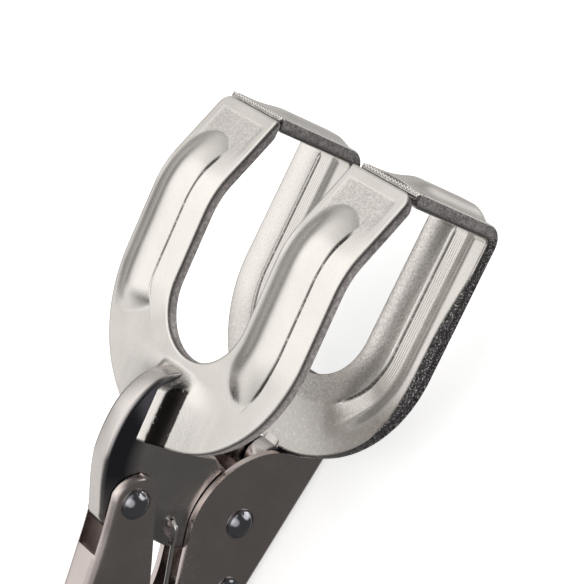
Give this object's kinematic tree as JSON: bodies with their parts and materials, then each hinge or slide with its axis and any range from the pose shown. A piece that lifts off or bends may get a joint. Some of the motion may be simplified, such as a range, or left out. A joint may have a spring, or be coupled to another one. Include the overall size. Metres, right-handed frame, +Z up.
{
  "type": "locking welding clamp",
  "caption": "Locking clamp with U-shaped plate jaws: a moving jaw on a toggle linkage, two channel handles, a return spring, an adjusting screw and a release lever.",
  "frame": {"origin": "on the flat back of the fixed handle, directly below the jaw pivot, in the plane of symmetry", "axes": "+X along the handle's back towards the jaw tips, +Z up from the fixed handle to the moving handle, +Y across"},
  "size_m": [0.2286, 0.0668, 0.0617],
  "materials": {
    "jaw": "satin nickel plate",
    "handle": "smooth nickel plate",
    "screw": "plated steel",
    "knob": "knurled nickel plate",
    "spring": "drawn wire",
    "rivet": "polished"
  },
  "bodies": {
    "fixed_handle": {"fixed_handle": "handle", "fixed_jaw": "jaw", "screw_collar": "screw", "jaw_pivot_rivet": "rivet", "tang_rivet": "rivet", "spring_anchor_pin": "rivet"},
    "movable_jaw": {"movable_jaw": "jaw", "jaw_spring": "spring"},
    "movable_handle": {"movable_handle": "handle", "handle_pivot_rivet": "rivet", "link_rivet": "rivet", "lever_rivet": "rivet"},
    "toggle_link": {"toggle_link": "handle"},
    "release_lever": {"release_lever": "handle"},
    "adjusting_screw": {"adjusting_screw": "screw"},
    "screw_knob": {"screw_knob": "knob"}
  },
  "joints": [
    {"name": "jaw_pivot", "type": "hinge", "parent": "fixed_handle", "child": "movable_jaw", "pos_m": [0, 0, 0.0147], "axis": [0, -1, 0], "range_deg": [0, 30], "deforming": ["jaw_spring"]},
    {"name": "handle_pivot", "type": "hinge", "parent": "movable_jaw", "child": "movable_handle", "pos_m": [-0.005, 0, 0.0473], "axis": [0, 1, 0], "range_deg": [0, 60]},
    {"name": "link_pivot", "type": "hinge", "parent": "movable_handle", "child": "toggle_link", "pos_m": [-0.0475, 0, 0.0229], "axis": [0, -1, 0], "range_deg": [0, 90]},
    {"name": "release_lever_hinge", "type": "hinge", "parent": "movable_handle", "child": "release_lever", "pos_m": [-0.08, 0, 0.0305], "axis": [0, 1, 0], "range_deg": [0, 10]},
    {"name": "screw_travel", "type": "slide", "parent": "fixed_handle", "child": "adjusting_screw", "axis": [-1, 0, 0], "range_m": [0, 0.0105]},
    {"name": "screw_turn", "type": "hinge", "parent": "adjusting_screw", "child": "screw_knob", "pos_m": [-0.124, 0, 0.0087], "axis": [-1, 0, 0], "range_deg": [0, 2160]}
  ],
  "couplings": [
    {"joint": "handle_pivot", "follows": "jaw_pivot", "ratio": 2},
    {"joint": "link_pivot", "follows": "jaw_pivot", "ratio": 3},
    {"joint": "screw_travel", "follows": "screw_turn", "m_per_rad": 0.00023873}
  ]
}
